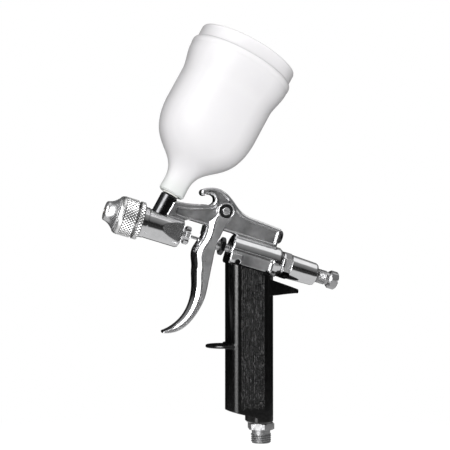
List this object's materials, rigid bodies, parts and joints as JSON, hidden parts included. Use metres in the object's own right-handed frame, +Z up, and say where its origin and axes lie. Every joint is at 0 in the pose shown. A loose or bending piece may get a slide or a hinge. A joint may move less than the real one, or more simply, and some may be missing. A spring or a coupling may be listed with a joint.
{
  "type": "gravity-feed spray gun",
  "caption": "Pistol-grip spray gun for paint with a translucent cup on top, an arched arm with a hanging hook, a long lever trigger and a threaded air inlet at the foot.",
  "frame": {"origin": "centre of the air inlet's end face, on the thread's axis", "axes": "+Z up along the handle, -X towards the nozzle, +X towards the adjusting knob, +Y to the gun's right-hand side seen from behind the handle looking at the nozzle; the needle axis lies in the XZ plane and falls 16.7 degrees to the rear"},
  "size_m": [0.1554, 0.07, 0.2684],
  "materials": {
    "polished_chrome": "polished, mirror-like on the outer faces, satin in the sunk webs",
    "knurled_nickel": "bright satin, cut knurl",
    "dark_steel": "blackened, slightly oily",
    "steel": "ground and turned",
    "brass": "turned brass",
    "spring_steel": "bright wire",
    "seal_rubber": "black nitrile",
    "seal_white": "white low-friction plastic",
    "translucent_white": "milky, lets light through, smooth",
    "black_enamel": "gloss black enamel, fine upright ribs on the sides"
  },
  "bodies": {
    "gun_body": {"body_casting": "polished_chrome", "passage_plug": "polished_chrome", "cup_stud": "dark_steel", "fluid_nozzle": "brass", "nozzle_gasket": "seal_white", "packing_nut": "polished_chrome", "needle_packing": "seal_white", "pivot_screw": "polished_chrome", "pivot_bush": "brass", "valve_gland": "steel", "valve_seat": "brass", "spring_housing": "polished_chrome", "housing_gasket": "seal_rubber", "handle": "black_enamel", "handle_screws": "dark_steel", "port_seal": "seal_rubber", "finger_rest": "black_enamel", "air_inlet": "polished_chrome", "inlet_gasket": "seal_rubber"},
    "trigger": {"trigger": "polished_chrome"},
    "valve_stem": {"valve_stem": "steel", "stem_nut": "dark_steel", "valve_disc": "seal_white", "valve_spring": "spring_steel"},
    "needle": {"needle": "steel", "needle_collar": "brass", "needle_spring": "spring_steel"},
    "spring_button": {"spring_button": "steel"},
    "adjuster": {"adjusting_screw": "polished_chrome", "adjuster_knob": "polished_chrome"},
    "air_cap": {"air_cap": "polished_chrome"},
    "cap_ring": {"cap_ring": "knurled_nickel"},
    "lock_ring": {"lock_ring": "knurled_nickel"},
    "cup_gasket": {"cup_gasket": "seal_white"},
    "cup": {"cup_body": "translucent_white"},
    "cup_lid": {"cup_lid": "translucent_white"}
  },
  "joints": [
    {"name": "trigger_pull", "type": "hinge", "parent": "gun_body", "child": "trigger", "pos_m": [-0.02485, 0, 0.14889], "axis": [0, -1, 0], "range_deg": [0, 9.6]},
    {"name": "stem_slide", "type": "slide", "parent": "gun_body", "child": "valve_stem", "axis": [0.9578, 0, -0.2874], "range_m": [0, 0.0037], "deforming": ["valve_spring"]},
    {"name": "needle_slide", "type": "slide", "parent": "gun_body", "child": "needle", "axis": [0.9578, 0, -0.2874], "range_m": [0, 0.0025], "deforming": ["needle_spring"]},
    {"name": "adjuster_slide", "type": "slide", "parent": "gun_body", "child": "spring_button", "axis": [0.9578, 0, -0.2874], "range_m": [-0.002, 0.003]},
    {"name": "adjuster_turn", "type": "hinge", "parent": "spring_button", "child": "adjuster", "pos_m": [0.04499, 0, 0.10538], "axis": [0.9578, 0, -0.2874], "range_deg": [-720, 1080]},
    {"name": "air_cap_slide", "type": "slide", "parent": "gun_body", "child": "air_cap", "axis": [-0.9578, 0, 0.2874], "range_m": [0, 0.006]},
    {"name": "cap_ring_turn", "type": "hinge", "parent": "air_cap", "child": "cap_ring", "pos_m": [-0.08853, 0, 0.14544], "axis": [-0.9578, 0, 0.2874], "range_deg": [0, 2160]},
    {"name": "lock_ring_turn", "type": "hinge", "parent": "gun_body", "child": "lock_ring", "pos_m": [-0.0802, 0, 0.14294], "axis": [-0.9578, 0, 0.2874], "range_deg": [-360, 360]},
    {"name": "cup_slide", "type": "slide", "parent": "gun_body", "child": "cup_gasket", "axis": [0.4818, 0, 0.8763], "range_m": [0, 0.009]},
    {"name": "cup_turn", "type": "hinge", "parent": "cup_gasket", "child": "cup", "pos_m": [-0.0594, 0, 0.15987], "axis": [0.4818, 0, 0.8763], "range_deg": [0, 2160]},
    {"name": "lid_lift", "type": "slide", "parent": "cup", "child": "cup_lid", "axis": [0.4818, 0, 0.8763], "range_m": [0, 0.012]}
  ],
  "couplings": [
    {"joint": "stem_slide", "follows": "trigger_pull", "m_per_rad": 0.021775},
    {"joint": "needle_slide", "follows": "trigger_pull", "m_per_rad": 0.014613},
    {"joint": "adjuster_slide", "follows": "adjuster_turn", "m_per_rad": 0.00015915},
    {"joint": "air_cap_slide", "follows": "cap_ring_turn", "m_per_rad": 0.00015915},
    {"joint": "cup_slide", "follows": "cup_turn", "m_per_rad": 0.00023873}
  ]
}
